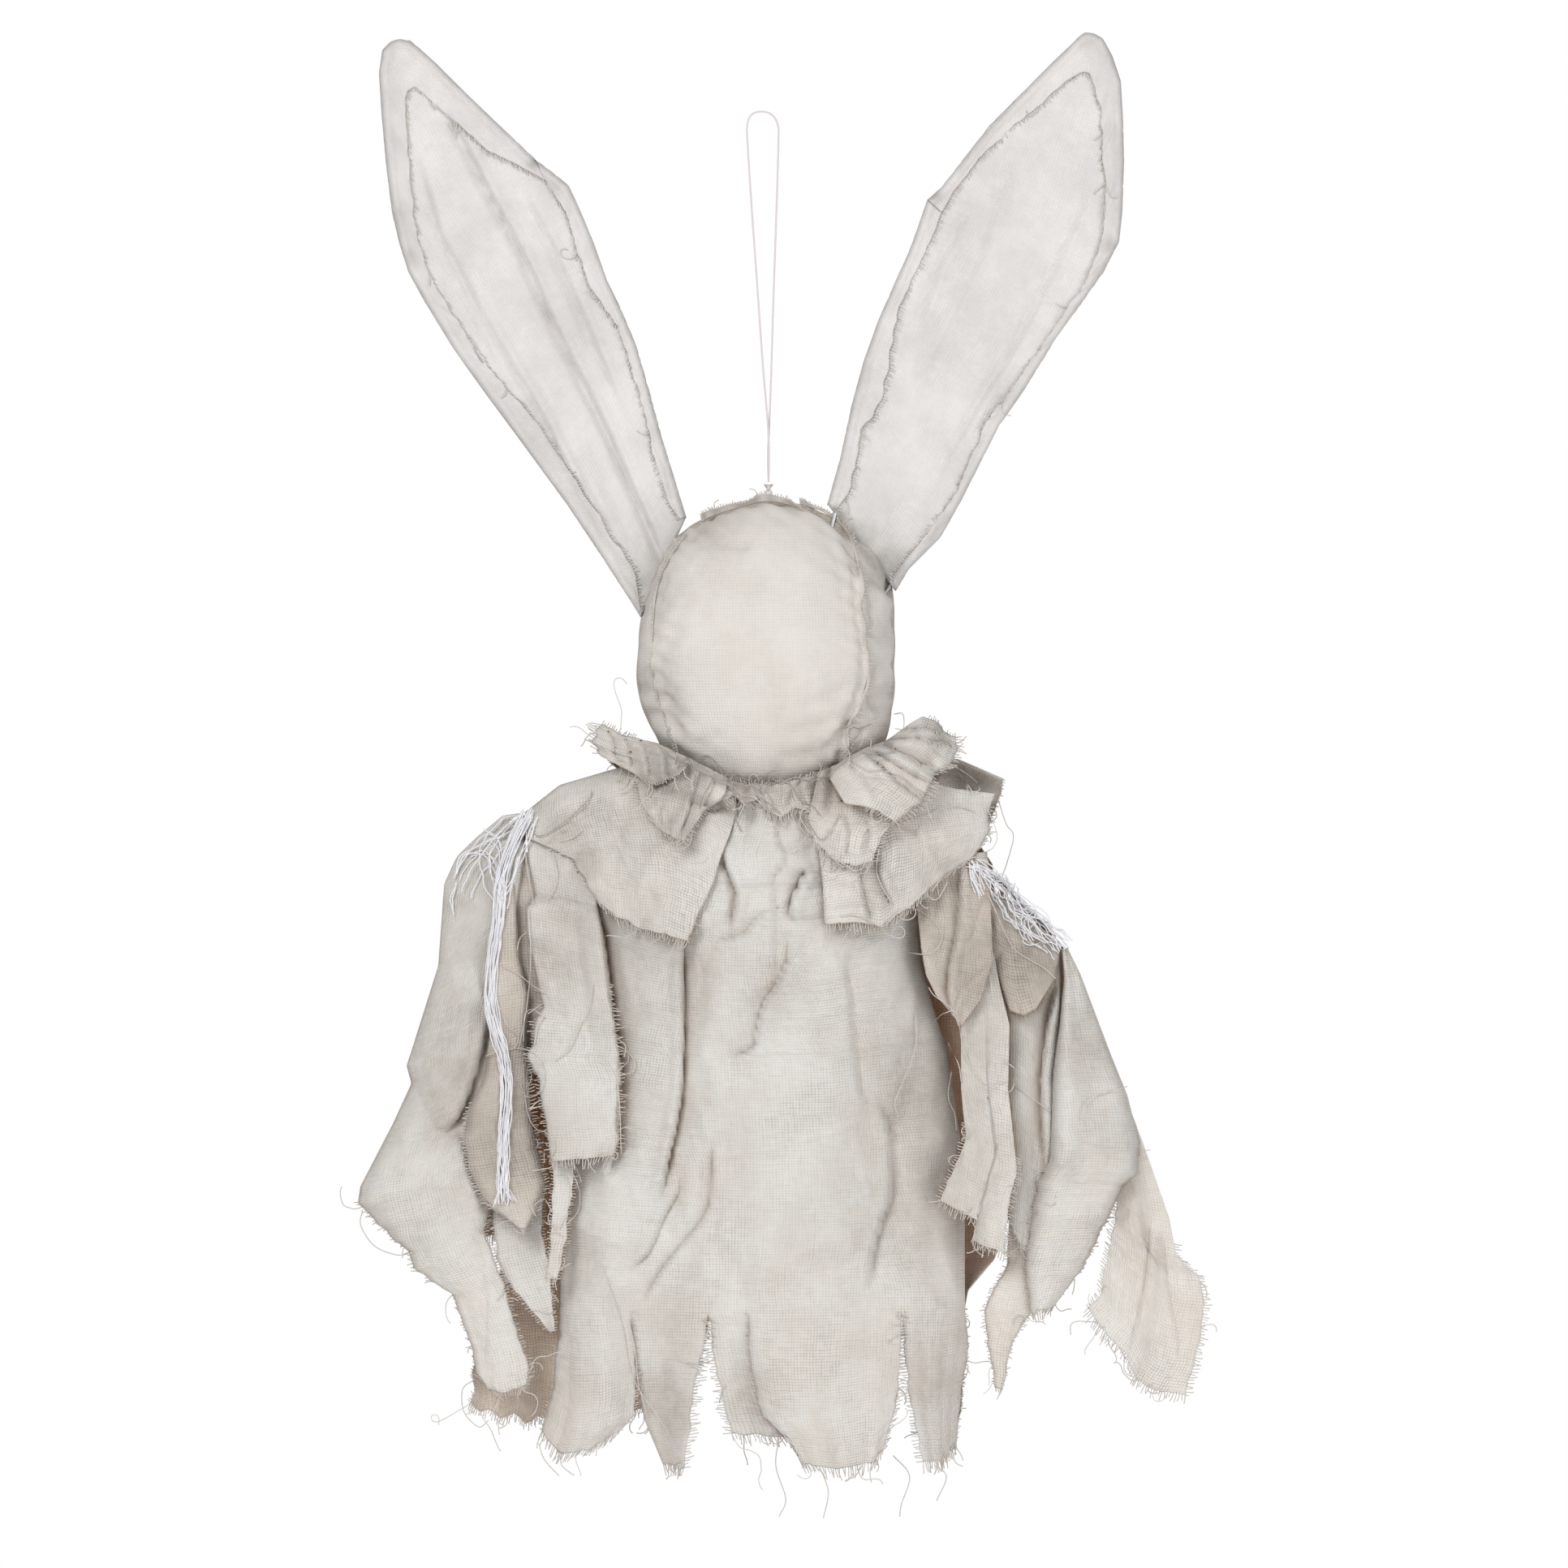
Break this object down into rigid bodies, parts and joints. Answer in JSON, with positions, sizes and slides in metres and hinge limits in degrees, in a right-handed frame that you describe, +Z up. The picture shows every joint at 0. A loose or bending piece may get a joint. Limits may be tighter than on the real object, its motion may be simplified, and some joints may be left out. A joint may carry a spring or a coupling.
{
  "type": "hanging rabbit ghost decoration",
  "caption": "Faceless stuffed muslin head with tall wired rabbit ears, ruffled collar and a torn hanging gown with sleeves, hung by a thread loop.",
  "frame": {"origin": "top of the hanging loop, where a hook would hold it", "axes": "+Z up along the figure, from hem to ears; +Y from front to back, the thin way; +X to the viewer's right, seen from the front"},
  "size_m": [0.396, 0.107, 0.6681],
  "materials": {
    "muslin_head": "plain-woven unbleached muslin, matt, faint grey smudges at the seams",
    "muslin_ear": "plain-woven muslin stretched over wire, matt, greyed along the hem",
    "muslin_gown": "plain-woven muslin, matt, torn and frayed edges",
    "muslin_worn": "plain-woven muslin stained brownish grey, matt",
    "muslin_collar": "plain-woven muslin, gathered, stained grey along its folds",
    "yarn": "soft white cotton yarn, matt",
    "thread": "thin white nylon thread, slight sheen",
    "wire": "drawn steel wire"
  },
  "bodies": {
    "root": {"hanging_loop": "thread", "loop_knot": "thread", "head": "muslin_head", "ear_wire_left": "wire", "ear_wire_right": "wire", "shoulder_wire": "wire", "ear_cover_left": "muslin_ear", "ear_cover_right": "muslin_ear", "gown_front": "muslin_gown", "gown_back": "muslin_worn", "sleeve_left_front": "muslin_gown", "sleeve_left_back": "muslin_worn", "sleeve_left_low_strip": "muslin_gown", "sleeve_right_front": "muslin_gown", "sleeve_right_back": "muslin_worn", "sleeve_right_low_strip": "muslin_gown", "sleeve_right_inner": "muslin_worn", "sleeve_right_cap": "muslin_gown", "torn_strip_left_grey": "muslin_worn", "torn_strip_left_front": "muslin_gown", "torn_rag_left": "muslin_gown", "torn_strip_right_pointed": "muslin_gown", "torn_strip_right_shoulder": "muslin_gown", "torn_patch_right": "muslin_gown", "cape_back": "muslin_collar", "cape_left": "muslin_collar", "cape_right": "muslin_collar", "collar_back": "muslin_collar", "collar_centre": "muslin_collar", "collar_left": "muslin_collar", "collar_right": "muslin_collar", "yarn_hank_left": "yarn", "yarn_bundle_right": "yarn"}
  },
  "joints": []
}
